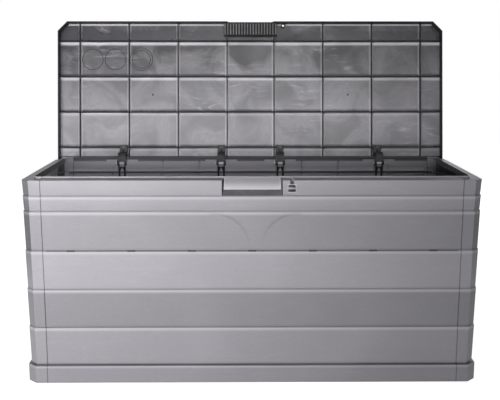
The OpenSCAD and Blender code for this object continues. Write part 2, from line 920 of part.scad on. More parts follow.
// Where the inner face of the rear wall lies at the open stop, seen from the arm
function stop_u(s) =
    let (top = rear_top - axis_z,
        s0 = wall_in * cos(open_angle) - top * sin(open_angle),
        u0 = wall_in * sin(open_angle) + top * cos(open_angle))
    u0 - (s - s0) * cos(open_angle) / sin(open_angle) - stop_gap;

// Side view of the arm: a gooseneck from the eye round to the flange on the lid
module arm_outline() {
    bend = [for (a = [270:-15:180])
        [-bar_end + bar_bend + bar_bend * cos(a), bar_bottom + bar_bend + bar_bend * sin(a)]];
    polygon(concat(
        [[0, bar_bottom]], bend,
        [[-bar_end, flange_top], [-bar_end + riser_t, flange_top],
            [-bar_end + riser_t, stop_u(-bar_end + riser_t)], [0, min(eye_r, stop_u(0))]]));
}

// Plan of the arm: it widens to a yoke round the bracket's eyes
module arm_plan() {
    polygon(both_sides([
        [flange_w / 2, -flange_far - past], [flange_w / 2, -yoke_end], [fork_out, -eye_r + past],
        [fork_out, eye_r + past]]));
}

module hinge_arm(x) {
    low = flange_top - flange_t;
    color([0.13, 0.13, 0.14]) opened() on_axis(x) difference() {
        union() {
            intersection() {
                difference() {
                    along_x(-fork_out, fork_out) arm_outline();
                    along_x(-fork_in, fork_in) circle(hub_clear);
                }
                translate([0, 0, bar_bottom - past])
                    linear_extrude(flange_top - bar_bottom + 2 * past)
                        arm_plan();
            }
            both_legs(fork_in, fork_t)
                circle(eye_r);
            along_x(-flange_w / 2, flange_w / 2)
                translate([-flange_far, low])
                    square([flange_far - flange_near, flange_t]);
            // Webs that stiffen the riser on both sides
            along_x(-web_t / 2, web_t / 2)
                for (web = [[-bar_end + riser_t - past, -flange_near - web_near],
                        [-bar_end + past, -flange_far + web_far]])
                    polygon([[web[0], flange_top - past], [web[0], low - web_h],
                        [web[1], low + past], [web[1], flange_top - past]]);
        }
        axle_bore();
        for (s = arm_screw_s)
            translate([0, s, low - driver_l]) {
                cylinder(r = screw_r + screw_clear, h = driver_l + flange_t + past);
                cylinder(r = screw_head_r + screw_room, h = driver_l);
            }
    }
}

// Front view of the bracket: two legs over a foot that is screwed to the wall
module bracket_outline() {
    difference() {
        polygon(both_sides([
            [leg_out, plate_top], [knee_out, knee_u], [knee_out, foot_top],
            [plate_w / 2, foot_top - foot_slope], [plate_w / 2, plate_bottom]]));
        polygon([[0, plate_top - past], [knee_in, knee_u], [knee_in, foot_top], [-knee_in, foot_top],
            [-knee_in, knee_u]]);
    }
}

module hinge_bracket(x) {
    color([0.13, 0.13, 0.14]) on_axis(x) difference() {
        union() {
            translate([0, plate_y, 0])
                rotate([90, 0, 0])
                    linear_extrude(plate_t)
                        bracket_outline();
            // Fins that carry the eyes
            both_legs(leg_in, leg_t) {
                circle(eye_r);
                polygon([[-eye_r, 0], [-eye_r + past, -1.5 * eye_r], [plate_y - plate_t - past, knee_u],
                    [plate_y - past, foot_top + 4], [plate_y - past, plate_top], [eye_r, 0]]);
            }
        }
        axle_bore();
        for (side = [-1, 1])
            translate([side * bracket_screw_x, 0, bracket_screw_u])
                rotate([90, 0, 0])
                    cylinder(r = screw_r + screw_clear, h = through, center = true);
    }
}

module hinge_pin(x) {
    color([0.6, 0.6, 0.62]) on_axis(x) rotate([0, 90, 0]) {
        translate([0, 0, -fork_out - side_clear - pin_head_t])
            cylinder(r = pin_head_r, h = pin_head_t);
        translate([0, 0, -fork_out - side_clear - eps])
            cylinder(r = pin_r, h = 2 * fork_out + side_clear + pin_end);
        translate([0, 0, fork_out + pin_end - 2 * eps])
            cylinder(r1 = pin_r, r2 = pin_r - pin_tip_in, h = pin_tip_h);
    }
}

// Pan head screw pointing along +Z, its head below the origin
module screw(length) {
    translate([0, 0, -screw_head_h])
        cylinder(r = screw_head_r, h = screw_head_h);
    translate([0, 0, -eps])
        cylinder(r = screw_r, h = length);
}

module arm_screws() {
    color([0.7, 0.7, 0.72]) opened()
        for (x = hinge_x, s = arm_screw_s)
            on_axis(x)
                translate([0, s, flange_top - flange_t])
                    screw(screw_l);
}

module bracket_screws() {
    color([0.7, 0.7, 0.72])
        for (x = hinge_x, s = [-1, 1])
            on_axis(x)
                translate([s * bracket_screw_x, plate_y - plate_t, bracket_screw_u])
                    rotate([-90, 0, 0])
                        screw(wall_screw_l);
}

base_tray();
front_panel();
rear_panel();
left_side_panel();
right_side_panel();
lid_shell();
grip_insert();
hinge_arm(hinge_x[0]);  // hinge_arm_1
hinge_arm(hinge_x[1]);  // hinge_arm_2
hinge_arm(hinge_x[2]);  // hinge_arm_3
hinge_arm(hinge_x[3]);  // hinge_arm_4
hinge_bracket(hinge_x[0]);  // hinge_bracket_1
hinge_bracket(hinge_x[1]);  // hinge_bracket_2
hinge_bracket(hinge_x[2]);  // hinge_bracket_3
hinge_bracket(hinge_x[3]);  // hinge_bracket_4
hinge_pin(hinge_x[0]);  // hinge_pin_1
hinge_pin(hinge_x[1]);  // hinge_pin_2
hinge_pin(hinge_x[2]);  // hinge_pin_3
hinge_pin(hinge_x[3]);  // hinge_pin_4
arm_screws();
bracket_screws();
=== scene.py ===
"""Dressing of the deck storage box: moulded resin panels, ribbed lid, hinges, studio and camera."""

import json
import math

import bmesh
import bpy
from mathutils import Matrix, Vector


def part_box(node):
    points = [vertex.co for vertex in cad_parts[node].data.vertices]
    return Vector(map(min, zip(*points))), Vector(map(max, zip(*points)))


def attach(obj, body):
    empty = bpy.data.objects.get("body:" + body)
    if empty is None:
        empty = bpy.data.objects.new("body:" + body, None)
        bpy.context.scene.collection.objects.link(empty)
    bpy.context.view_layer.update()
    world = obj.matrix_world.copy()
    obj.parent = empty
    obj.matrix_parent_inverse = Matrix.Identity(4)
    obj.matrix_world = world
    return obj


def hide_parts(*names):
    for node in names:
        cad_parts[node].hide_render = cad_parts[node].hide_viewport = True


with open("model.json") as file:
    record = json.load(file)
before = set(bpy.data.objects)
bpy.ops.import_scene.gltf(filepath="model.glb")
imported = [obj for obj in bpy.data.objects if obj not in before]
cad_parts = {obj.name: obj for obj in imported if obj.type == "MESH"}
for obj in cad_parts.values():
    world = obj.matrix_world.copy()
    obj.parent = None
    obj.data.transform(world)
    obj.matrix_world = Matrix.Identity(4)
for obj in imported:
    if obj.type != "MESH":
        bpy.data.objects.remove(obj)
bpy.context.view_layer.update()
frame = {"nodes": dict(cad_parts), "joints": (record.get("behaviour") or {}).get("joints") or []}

# ---- sizes of the box, in metres ----

MM = 0.001
PLINTH_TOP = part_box("base_tray")[1].z
CURB_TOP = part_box("front_panel")[1].z
LID_JOINT = next(joint for joint in frame["joints"] if joint["name"] == "lid_hinge")
HINGE_LINE = Vector(LID_JOINT["pos_m"])
LID_SWING = math.radians(LID_JOINT["range_deg"][1])

# Boards of the walls: the rim, the two narrow boards under it and the full boards down to the plinth
RIM_Z = 540 * MM
NARROW_BOARD = 40 * MM
FULL_BOARDS = 4
FULL_BOARD = (RIM_Z - 2 * NARROW_BOARD - PLINTH_TOP) / FULL_BOARDS

# The lid, shut: its underside, the foot of its ribs, its front and rear edges and its ends
LID_UNDER = 570 * MM
RIB_FOOT = 556 * MM
LID_FRONT = -223.5 * MM
LID_REAR = 234 * MM
SKIRT_FACE_X = 589 * MM
# Its board joints, from the front edge, and its ribs, from the middle
FIRST_JOINT = 58 * MM
JOINT_PITCH = 109 * MM
FIRST_RIB = 72.5 * MM
RIB_PITCH = 151 * MM


def turn_about(line, angle):
    """Turn about a line along X."""
    return Matrix.Translation(line) @ Matrix.Rotation(angle, 4, "X") @ Matrix.Translation(-line)


OPENING = turn_about(HINGE_LINE, -LID_SWING)
CLOSING = turn_about(HINGE_LINE, LID_SWING)


# ---- shader helpers: a value, mask or vector is an output socket, and a value may be a constant ----


def srgb(red, green, blue):
    """Colour written as on a screen, 0 to 255, as scene values."""
    def linear(value):
        value /= 255
        return value / 12.92 if value <= 0.04045 else ((value + 0.055) / 1.055) ** 2.4

    return (linear(red), linear(green), linear(blue), 1.0)


def plug(tree, value, socket):
    """Link an output socket to an input, or set the input to a constant."""
    if isinstance(value, bpy.types.NodeSocket):
        tree.links.new(value, socket)
    else:
        socket.default_value = value


def calculate(tree, operation, *values):
    """Result of a Math node."""
    node = tree.nodes.new("ShaderNodeMath")
    node.operation = operation
    for value, socket in zip(values, node.inputs):
        plug(tree, value, socket)
    return node.outputs["Value"]


def product(tree, value, *others):
    """Product of all the values."""
    for other in others:
        value = calculate(tree, "MULTIPLY", value, other)
    return value


def add_shares(tree, value, *masks):
    """Value plus a share of each mask; the masks are given as (mask, share)."""
    for mask, share in masks:
        value = calculate(tree, "MULTIPLY_ADD", mask, share, value)
    return value


def away_from(tree, value, line):
    """How far a value is from a line, on either side of it."""
    return calculate(tree, "ABSOLUTE", calculate(tree, "SUBTRACT", value, line))


def fade(tree, value, low, high, to_low=0.0, to_high=1.0, smooth=True):
    """Value that goes from to_low to to_high while the given one goes from low to high."""
    node = tree.nodes.new("ShaderNodeMapRange")
    node.interpolation_type = "SMOOTHSTEP" if smooth else "LINEAR"
    for label, limit in (("From Min", low), ("From Max", high), ("To Min", to_low), ("To Max", to_high)):
        node.inputs[label].default_value = limit
    plug(tree, value, node.inputs["Value"])
    return node.outputs["Result"]


def fall(tree, value, low, high):
    """Mask that is full up to low and gone from high on."""
    return fade(tree, value, low, high, 1.0, 0.0)


def noise(tree, vector, scale, detail, roughness=0.5, distortion=0.0):
    """Noise pattern."""
    node = tree.nodes.new("ShaderNodeTexNoise")
    plug(tree, vector, node.inputs["Vector"])
    plug(tree, scale, node.inputs["Scale"])
    node.inputs["Detail"].default_value = detail
    node.inputs["Roughness"].default_value = roughness
    node.inputs["Distortion"].default_value = distortion
    return node.outputs["Fac"]


def mapped(tree, vector, **settings):
    """Vector moved, turned or stretched."""
    node = tree.nodes.new("ShaderNodeMapping")
    plug(tree, vector, node.inputs["Vector"])
    for label, value in settings.items():
        node.inputs[label].default_value = value
    return node.outputs["Vector"]


def vector_node(tree, operation, vector, constant=None):
    """Outputs of a Vector Math node on a vector and a constant."""
    node = tree.nodes.new("ShaderNodeVectorMath")
    node.operation = operation
    plug(tree, vector, node.inputs[0])
    if constant is not None:
        node.inputs[1].default_value = constant
    return node.outputs


def axes(tree, vector):
    """X, Y and Z of a vector."""
    node = tree.nodes.new("ShaderNodeSeparateXYZ")
    plug(tree, vector, node.inputs["Vector"])
    return node.outputs["X"], node.outputs["Y"], node.outputs["Z"]


def level_by_height(tree, height, stops, foot_level):
    """Level by height up to the curb's top; stops are (height, level), above the level at the foot."""
    ramp = tree.nodes.new("ShaderNodeValToRGB")
    elements = ramp.color_ramp.elements
    elements.remove(elements[1])
    elements[0].color = (foot_level, foot_level, foot_level, 1)
    for stop, level in stops:
        elements.new(stop / CURB_TOP).color = (level, level, level, 1)
    plug(tree, calculate(tree, "DIVIDE", height, CURB_TOP), ramp.inputs["Fac"])
    return ramp.outputs["Color"]


def mixed_colour(tree, share, first, second):
    """Colour that goes from the first to the second by a share."""
    node = tree.nodes.new("ShaderNodeMix")
    node.data_type = "RGBA"
    plug(tree, share, node.inputs[0])
    plug(tree, first, node.inputs[6])
    plug(tree, second, node.inputs[7])
    return node.outputs[2]


def object_place(tree):
    """Object coordinates."""
    return tree.nodes.new("ShaderNodeTexCoord").outputs["Object"]


def closed_place(tree):
    """Coordinates of the lid as it lies when shut."""
    return mapped(tree, object_place(tree), Rotation=(LID_SWING, 0, 0), Location=CLOSING.translation)


def new_group(name, inputs, outputs):
    """Empty shader group of a vector and named values: the group, what goes in and what comes out."""
    group = bpy.data.node_groups.new(name, "ShaderNodeTree")
    group.interface.new_socket("Vector", in_out="INPUT", socket_type="NodeSocketVector")
    for label in inputs:
        group.interface.new_socket(label, in_out="INPUT", socket_type="NodeSocketFloat")
    for label in outputs:
        group.interface.new_socket(label, in_out="OUTPUT", socket_type="NodeSocketFloat")
    start = group.nodes.new("NodeGroupInput")
    end = group.nodes.new("NodeGroupOutput")
    return group, start.outputs, end.inputs


def placed(tree, group, vector, **settings):
    """Outputs of a shader group that is placed in a tree with a vector and its own constants."""
    node = tree.nodes.new("ShaderNodeGroup")
    node.node_tree = group
    plug(tree, vector, node.inputs["Vector"])
    for label, value in settings.items():
        node.inputs[label].default_value = value
    return node.outputs


# ---- marks of the moulding, as shader groups ----


def flow_marks_group():
    """Blotches and drawn-out streaks that the resin leaves as it fills the mould."""
    group, start, end = new_group("flow marks", ["Scale", "Streak"], ["Blotch", "Streaks"])
    blotch = noise(group, start["Vector"], start["Scale"], detail=3.0, roughness=0.55, distortion=0.9)
    plug(group, fade(group, blotch, 0.3, 0.72), end["Blotch"])

    drawn = mapped(group, start["Vector"], Scale=(0.35, 1.6, 1.6))
    streaks = noise(group, drawn, scale=26.0, detail=4.0, roughness=0.6, distortion=1.6)
    plug(group, product(group, fade(group, streaks, 0.52, 0.8), start["Streak"]), end["Streaks"])
    return group


def fine_grain_group():
    """Height and tone of the fine grain etched in the mould, drawn out along the boards."""
    group, start, end = new_group("fine grain", [], ["Height", "Tone"])
    drawn = mapped(group, start["Vector"], Scale=(0.22, 1.0, 1.0))
    grain = noise(group, drawn, scale=420.0, detail=2.0, roughness=0.6)
    speckle = noise(group, start["Vector"], scale=900.0, detail=1.0)
    both = group.nodes.new("ShaderNodeMix")
    both.inputs["Factor"].default_value = 0.5
    plug(group, grain, both.inputs["A"])
    plug(group, speckle, both.inputs["B"])
    plug(group, both.outputs["Result"], end["Height"])
    plug(group, grain, end["Tone"])
    return group


# Tone of the plinth and of the boards above it, from the lowest up; the boards' different tones are painted
# light, for how much light each board catches
BOARD_LIGHT_TONES = (0.36, 0.375, 0.28, 0.43, 0.31, 0.395, 0.415)
# Tones of a board's painted highlight on its top edge, of the painted shade in the line on top of the
# plinth and on the ledge, and of the curb
EDGE_HIGHLIGHT_TONE = 0.68
PLINTH_LINE_SHADE_TONE = 0.0
LEDGE_SHADE_TONE = 0.2
CURB_TONE = 0.4
# Groove at a board's top, the painted highlight under the groove, and a board's foot, which with the groove
# gets painted shade to this share
GROOVE_H = 3 * MM
EDGE_H = 9 * MM
FOOT_H = 9 * MM
FOOT_SHADE_SHARE = 0.87
# Heights of the line on the plinth and of the curb's top edge, and of the steps between two tones
PLINTH_LINE_H = 2 * MM
CURB_EDGE_H = 2 * MM
STEP_H = 0.5 * MM
EDGE_STEP_H = 0.4 * MM


def board_light_group():
    """Painted light and shade of the walls by height: a tone for the light each board catches, with a
    painted highlight on its top edge and painted shade at its foot, in its groove and on the ledge.
    """
    group, start, end = new_group("board light and shade", [], ["Tone"])
    feet = [PLINTH_TOP + count * FULL_BOARD for count in range(FULL_BOARDS + 1)]
    feet += [RIM_Z - NARROW_BOARD, RIM_Z]
    stops = [
        (PLINTH_TOP - EDGE_H, BOARD_LIGHT_TONES[0]),
        (PLINTH_TOP - PLINTH_LINE_H, EDGE_HIGHLIGHT_TONE),
        (PLINTH_TOP - PLINTH_LINE_H + STEP_H, PLINTH_LINE_SHADE_TONE),
    ]
    for foot, top, tone in zip(feet, feet[1:], BOARD_LIGHT_TONES[1:]):
        low = foot + GROOVE_H if foot == PLINTH_TOP else foot
        stops.append((low, FOOT_SHADE_SHARE * tone))
        if top - foot > NARROW_BOARD + MM:
            stops.append((foot + FOOT_H, tone))
        if top == RIM_Z:
            stops.append((RIM_Z - STEP_H, tone))
        else:
            stops += [
                (top - GROOVE_H - EDGE_H, tone),
                (top - GROOVE_H - EDGE_STEP_H, EDGE_HIGHLIGHT_TONE),
                (top - GROOVE_H, FOOT_SHADE_SHARE * tone),
            ]
    stops += [(RIM_Z, LEDGE_SHADE_TONE), (CURB_TOP - CURB_EDGE_H, CURB_TONE)]
    _, _, height = axes(group, start["Vector"])
    plug(group, level_by_height(group, height, stops, BOARD_LIGHT_TONES[0]), end["Tone"])
    return group


# Seams between the panels, the board joint with the slots, and where its line ends by the seams
SEAM_X = 540 * MM
SEAM_HALF = 1.3 * MM
SLOT_JOINT = RIM_Z - 2 * NARROW_BOARD - FULL_BOARD
JOINT_END_X = (SEAM_X - 12 * MM, SEAM_X - 4 * MM)
# Slots, from the middle of the box
SLOT_PITCH = 156 * MM
SLOT_HALF = 10 * MM
# Shade of the joint at the slots and between them
SLOT_SHADE = 2.2
JOINT_SHADE = 0.7


def seam_shade_group():
    """Mask of the dark lines at the seams by the corners and along the slotted joint."""
    group, start, end = new_group("seam shade", [], ["Shade"])
    x, y, z = axes(group, start["Vector"])
    outward = calculate(group, "ABSOLUTE", x)
    seam = fall(group, away_from(group, outward, SEAM_X), 0.7 * SEAM_HALF, SEAM_HALF)

    from_joint = away_from(group, z, SLOT_JOINT - GROOVE_H / 2)
    joint = fall(group, from_joint, 0.5 * GROOVE_H, 0.7 * GROOVE_H)
    # At the rear wall Y is the greater, so that only the front has slots
    from_slot = calculate(group, "MAXIMUM", calculate(group, "PINGPONG", x, SLOT_PITCH / 2), y)
    depth = fade(group, from_slot, SLOT_HALF - MM, SLOT_HALF + MM, SLOT_SHADE, JOINT_SHADE)
    slotted = product(group, joint, depth, fall(group, outward, *JOINT_END_X))
    plug(group, calculate(group, "MAXIMUM", seam, slotted), end["Shade"])
    return group


# Dark arcs that the flow left on the board under the recess: centre, radius, and side that shows
ARCS = ((-98 * MM, 363 * MM, 90 * MM, 1), (114 * MM, 364 * MM, 89 * MM, -1))
# Distances over which an arc fades away from its line, and comes in beside its centre
ARC_BLUR = (1.2 * MM, 5.5 * MM)
ARC_START = (-20 * MM, -4 * MM)


def flow_arcs_group():
    """Mask of the two arcs under the finger recess, which fade downwards."""
    group, start, end = new_group("flow arcs", [], ["Shade"])
    x, _, z = axes(group, start["Vector"])
    flat = vector_node(group, "MULTIPLY", start["Vector"], (1, 0, 1))["Vector"]
    shown = []
    for centre_x, centre_z, radius, side in ARCS:
        reach = vector_node(group, "DISTANCE", flat, (centre_x, 0, centre_z))["Value"]
        band = fall(group, away_from(group, reach, radius), *ARC_BLUR)
        beyond = product(group, calculate(group, "SUBTRACT", x, centre_x), side)
        half = fade(group, beyond, *ARC_START)
        high = fade(group, z, centre_z - 0.1 * radius, centre_z + radius)
        shown.append(product(group, band, half, high))
    plug(group, calculate(group, "MAXIMUM", *shown), end["Shade"])
    return group


# Heights between which the painted shade on the corner posts comes in
CORNER_RISE = (190 * MM, 400 * MM)


def corner_shade_group():
    """Mask of painted shade on the corner posts, whose tone falls towards the top."""
    group, start, end = new_group("corner shade", [], ["Shade"])
    _, _, height = axes(group, start["Vector"])
    plug(group, fade(group, height, *CORNER_RISE), end["Shade"])
    return group


# Painted shade and highlight on the steps down the inner face of the rear wall: its turned-in top and the
# bead over the board joint
RAIL_SHADES = (
    (490 * MM, 0.5), (495 * MM, 0.15), (501 * MM, 0.15), (503 * MM, 0.72),
    (507 * MM, 0.72), (511 * MM, 0.5), (531 * MM, 0.5), (534 * MM, 0.02),
)
# Level that leaves the wall's own tone, and the rear wall's outer face, where the steps end
RAIL_PLAIN = 0.5
REAR_OUTSIDE = 219 * MM


def rail_shade_group():
    """Painted light and shade of the steps down the inner face of the rear wall, lighter above 0 and darker
    below.
    """
    group, start, end = new_group("rail shade", [], ["Shade"])
    _, y, z = axes(group, start["Vector"])
    level = level_by_height(group, z, RAIL_SHADES, RAIL_PLAIN)
    inside = fall(group, y, REAR_OUTSIDE, REAR_OUTSIDE + MM)
    plug(group, product(group, calculate(group, "SUBTRACT", level, RAIL_PLAIN), inside), end["Shade"])
    return group


# Rows between the lid's board joints, counted from the first joint, over which its painted light changes
ROW_DEPTH = (-0.5, 2.2)
PALE_ROWS = (0.0, 2.2)
PALE_STRENGTH = (1.5, 0.3)
# Where the painted highlight band ends and the painted shade band begins, as shares of a row
PALE_BAND = (0.05, 0.13)
DARK_BAND = (0.88, 0.97)
# Painted highlight on the front rim, and the strip of painted shade between it and the first joint, from
# the front edge
RIM_GLEAM = (6 * MM, 10 * MM)
STRIP_IN = (20 * MM, 32 * MM)
STRIP_OUT = (FIRST_JOINT - 2 * MM, FIRST_JOINT)
# Painted highlight band along a rib, by the distance from its middle, and its tone
RIB_BAND = (2 * MM, 9 * MM)
RIB_BAND_TONE = 0.6
# Painted shade behind the grip: its middle behind the first joint, its reach, and how much X counts in it
GRIP_SHADE_IN = 26 * MM
GRIP_SHADE = (8 * MM, 62 * MM)
GRIP_SHADE_ACROSS = 0.7
# Height over the foot of a rib by which the painted shade on its end has gone
RIB_END_H = 8 * MM


def rib_bands_group():
    """Masks of painted light and shade on the lid, in its shut place: pale and dark bands beside the ribs,
    and painted shade on the ribs' ends.
    """
    group, start, end = new_group(
        "rib light and shade bands", [],
        ["Band", "Rib End Shade", "Depth", "Grip Shade", "Dark Band", "Rim Gleam", "First Strip Shade"])
    x, y, z = axes(group, start["Vector"])

    # A painted highlight band behind each board joint, weaker row by row, and a painted shade band before
    # the next
    behind = calculate(group, "SUBTRACT", y, LID_FRONT + FIRST_JOINT)
    row = calculate(group, "DIVIDE", behind, JOINT_PITCH)
    # Depth: painted light that changes from row to row
    plug(group, fade(group, row, *ROW_DEPTH), end["Depth"])
    share = calculate(group, "FRACT", row)
    strength = fade(group, row, *PALE_ROWS, *PALE_STRENGTH, smooth=False)
    gleam = product(group, fall(group, share, *PALE_BAND), strength)
    plug(group, fade(group, share, *DARK_BAND), end["Dark Band"])

    # In the first row: a painted highlight along the rim and a strip of painted shade before the joint
    from_front = calculate(group, "SUBTRACT", y, LID_FRONT)
    plug(group, fall(group, from_front, *RIM_GLEAM), end["Rim Gleam"])
    strip = product(group, fade(group, from_front, *STRIP_IN), fall(group, from_front, *STRIP_OUT))
    plug(group, strip, end["First Strip Shade"])

    # Painted highlight on both sides of each rib that runs from front to back
    past = calculate(group, "SUBTRACT", calculate(group, "ABSOLUTE", x), FIRST_RIB)
    from_rib = calculate(group, "PINGPONG", past, RIB_PITCH / 2)
    beside = fade(group, from_rib, *RIB_BAND, RIB_BAND_TONE, 0.0)
    plug(group, calculate(group, "MAXIMUM", gleam, beside), end["Band"])

    # Painted shade behind the grip
    flat = vector_node(group, "MULTIPLY", start["Vector"], (GRIP_SHADE_ACROSS, 1, 0))["Vector"]
    middle = (0, LID_FRONT + FIRST_JOINT + GRIP_SHADE_IN, 0)
    far = vector_node(group, "DISTANCE", flat, middle)["Value"]
    plug(group, fall(group, far, *GRIP_SHADE), end["Grip Shade"])

    # Painted shade on the ends of the ribs
    plug(group, fall(group, z, RIB_FOOT, RIB_FOOT + RIB_END_H), end["Rib End Shade"])
    return group


FLOW_MARKS = flow_marks_group()
FINE_GRAIN = fine_grain_group()
BOARD_TONE = board_light_group()
SEAM_SHADE = seam_shade_group()
FLOW_ARCS = flow_arcs_group()
CORNER_SHADE = corner_shade_group()
RAIL_SHADE = rail_shade_group()
RIB_BANDS = rib_bands_group()


# ---- resins and steels ----

# Height of the grain in the resin, and of the slow waves in the lid's underside
GRAIN_H = 0.2 * MM
WAVE_H = 4 * MM
# Tone taken off the whole underside of the lid, and the contrast that is left
LID_TONE_DROP = 0.165
LID_CONTRAST = 0.5
# Roughness of the ribs' ends
RIB_ROUGHNESS = 0.6
# Back of the finger recess: heights over which its painted shade comes in, and distances of its ends with a
# painted highlight
BACK_RISE = (RIM_Z - 28 * MM, RIM_Z - 2 * MM)
BACK_END_X = (68 * MM, 73 * MM)


def new_material(name, **sockets):
    """Material with its Principled shader; constants go straight on the shader's sockets."""
    material = bpy.data.materials.new(name)
    material.use_nodes = True
    shader = material.node_tree.nodes["Principled BSDF"]
    for label, value in sockets.items():
        shader.inputs[label.replace("_", " ").title().replace("Ior", "IOR")].default_value = value
    return material, material.node_tree, shader


def two_tone(tree, shader, dark, light, tone):
    """Base colour between two tones."""
    plug(tree, mixed_colour(tree, tone, dark, light), shader.inputs["Base Color"])


def add_bump(tree, shader, height, strength, distance):
    """Bump on the shader's normal."""
    bump = tree.nodes.new("ShaderNodeBump")
    bump.inputs["Strength"].default_value = strength
    bump.inputs["Distance"].default_value = distance
    plug(tree, height, bump.inputs["Height"])
    plug(tree, bump.outputs["Normal"], shader.inputs["Normal"])


def add_grain(tree, shader, vector, strength):
    """Fine grain on the shader's normal; returns the grain's tone."""
    fine = placed(tree, FINE_GRAIN, vector)
    add_bump(tree, shader, fine["Height"], strength, GRAIN_H)
    return fine["Tone"]


def wall_resin(name, dark, light, board_share=1.0, mark=None, mark_share=0.0):
    """Grained resin of the walls, with long faint streaks in the grain; each board's tone is painted light,
    with a painted highlight at its top edge and painted shade at its foot.

    A mark is a group whose Shade changes the tone further, by its share.
    """
    material, tree, shader = new_material(name, specular_ior_level=0.3)
    place_in = object_place(tree)
    flow = placed(tree, FLOW_MARKS, place_in, Scale=3.0, Streak=0.3)
    grain_tone = add_grain(tree, shader, place_in, strength=0.3)
    seams = placed(tree, SEAM_SHADE, place_in)
    # The board tone is painted light and shade: a tone per board for the light it catches, pale top edges,
    # shaded feet, grooves and ledge
    board = placed(tree, BOARD_TONE, place_in)["Tone"]
    tone = add_shares(
        tree, product(tree, board, board_share),
        (flow["Blotch"], 0.04), (flow["Streaks"], 0.1), (grain_tone, 0.08), (seams["Shade"], -0.3))
    if mark:
        tone = add_shares(tree, tone, (placed(tree, mark, place_in)["Shade"], mark_share))
    two_tone(tree, shader, dark, light, tone)
    plug(tree, fade(tree, board, 0.22, 0.54, 0.44, 0.36, smooth=False), shader.inputs["Roughness"])
    return material


def lid_inner_resin(dark, light, rib_shade_tone):
    """Smooth resin inside the lid: glossy, mottled by the flow, with painted highlights beside the ribs and
    painted shade in dark bands and on the ribs' ends.
    """
    material, tree, shader = new_material("smooth lid resin")
    closed = closed_place(tree)
    flow = placed(tree, FLOW_MARKS, closed, Scale=9.0, Streak=0.8)
    ribs = placed(tree, RIB_BANDS, closed)

    # The streaks come in patches
    patches = fade(tree, noise(tree, closed, scale=4.0, detail=2.0), 0.48, 0.66, 0.05, 0.9)
    # The rib bands put painted light and shade into the tone
    tone = add_shares(
        tree, product(tree, flow["Streaks"], patches),
        (flow["Blotch"], 0.38), (ribs["Depth"], 0.66), (ribs["Grip Shade"], -0.6),
        (ribs["Dark Band"], -0.7), (ribs["Rim Gleam"], 1.6), (ribs["First Strip Shade"], -0.28))
    tone = calculate(tree, "SUBTRACT", tone, LID_TONE_DROP)
    tone = add_shares(tree, tone, (ribs["Band"], 1.2))
    skin = mixed_colour(tree, product(tree, tone, LID_CONTRAST), dark, light)
    # The ribs' ends take the dark rib tone: painted shade
    plug(tree, mixed_colour(tree, ribs["Rib End Shade"], skin, rib_shade_tone), shader.inputs["Base Color"])

    skin_rough = fade(tree, flow["Blotch"], 0.0, 1.0, 0.36, 0.24, smooth=False)
    rib_rough = product(tree, ribs["Rib End Shade"], RIB_ROUGHNESS)
    plug(tree, calculate(tree, "MAXIMUM", skin_rough, rib_rough), shader.inputs["Roughness"])

    # Slow waves in the skin, which bend what shines in it
    waves = noise(tree, closed, scale=11.0, detail=2.0, distortion=0.6)
    add_bump(tree, shader, waves, strength=0.5, distance=WAVE_H)
    return material


def plain_resin(name, dark, light, scale, roughness, shine=0.5):
    """Plain moulded resin with a slight mottle."""
    material, tree, shader = new_material(name, roughness=roughness, specular_ior_level=shine)
    place_in = object_place(tree)
    add_grain(tree, shader, place_in, strength=0.15)
    flow = placed(tree, FLOW_MARKS, place_in, Scale=scale)
    two_tone(tree, shader, dark, light, flow["Blotch"])
    return material


def recess_back_shaded_resin(dark, light):
    """Smooth resin at the back of the finger recess, with painted light and shade: paler towards its foot
    and along its ends.
    """
    material, tree, shader = new_material("recess back shaded resin", roughness=0.3)
    place_in = object_place(tree)
    x, _, z = axes(tree, place_in)
    ends = fade(tree, calculate(tree, "ABSOLUTE", x), *BACK_END_X)
    flow = placed(tree, FLOW_MARKS, place_in, Scale=6.0)
    tone = add_shares(tree, fall(tree, z, *BACK_RISE), (ends, 0.5), (flow["Blotch"], 0.12))
    two_tone(tree, shader, dark, light, tone)
    add_grain(tree, shader, place_in, strength=0.12)
    return material


def steel_material(name, dark, light):
    """Plated steel with a faint cloud in its colour and polish."""
    material, tree, shader = new_material(name, metallic=1.0)
    cloud = noise(tree, object_place(tree), scale=300.0, detail=2.0)
    two_tone(tree, shader, dark, light, cloud)
    plug(tree, fade(tree, cloud, 0.3, 0.7, 0.26, 0.4, smooth=False), shader.inputs["Roughness"])
    return material


WALL_DARK = srgb(58, 58, 61)
WALL_LIGHT = srgb(221, 218, 226)
# Dark tone of the ribs: painted shade on their faces and ends
RIB_SHADE_DARK = srgb(34, 34, 37)

BOARD_RESIN = wall_resin("board resin", WALL_DARK, WALL_LIGHT, mark=FLOW_ARCS, mark_share=-0.08)
# Corner posts: the board resin with painted shade that deepens towards the top
CORNER_SHADED_RESIN = wall_resin("corner post shaded resin", WALL_DARK, WALL_LIGHT, mark=CORNER_SHADE, mark_share=-0.25)
# Rear wall: board resin with painted shade and highlight at the steps of its inner face
REAR_SHADED_RESIN = wall_resin("rear board shaded resin", WALL_DARK, WALL_LIGHT, mark=RAIL_SHADE, mark_share=0.9)
PLINTH_RESIN = wall_resin("plinth resin", WALL_DARK, srgb(213, 210, 218))
LID_SKIN = wall_resin("grained lid resin", srgb(128, 126, 132), srgb(205, 202, 210), board_share=0.4)
LID_INNER = lid_inner_resin(srgb(49, 47, 51), srgb(224, 221, 228), RIB_SHADE_DARK)
RECESS_BACK = recess_back_shaded_resin(srgb(114, 113, 118), srgb(181, 178, 185))
# Dark and light tone, scale of the mottle, roughness and shine of the plain resins
# Ribs, moulded rings and the recess's left end: a dark resin that stands in for their shade
RIB_SHADED_RESIN = plain_resin("lid rib shaded resin", RIB_SHADE_DARK, srgb(53, 51, 55), 14.0, 0.5, 0.15)
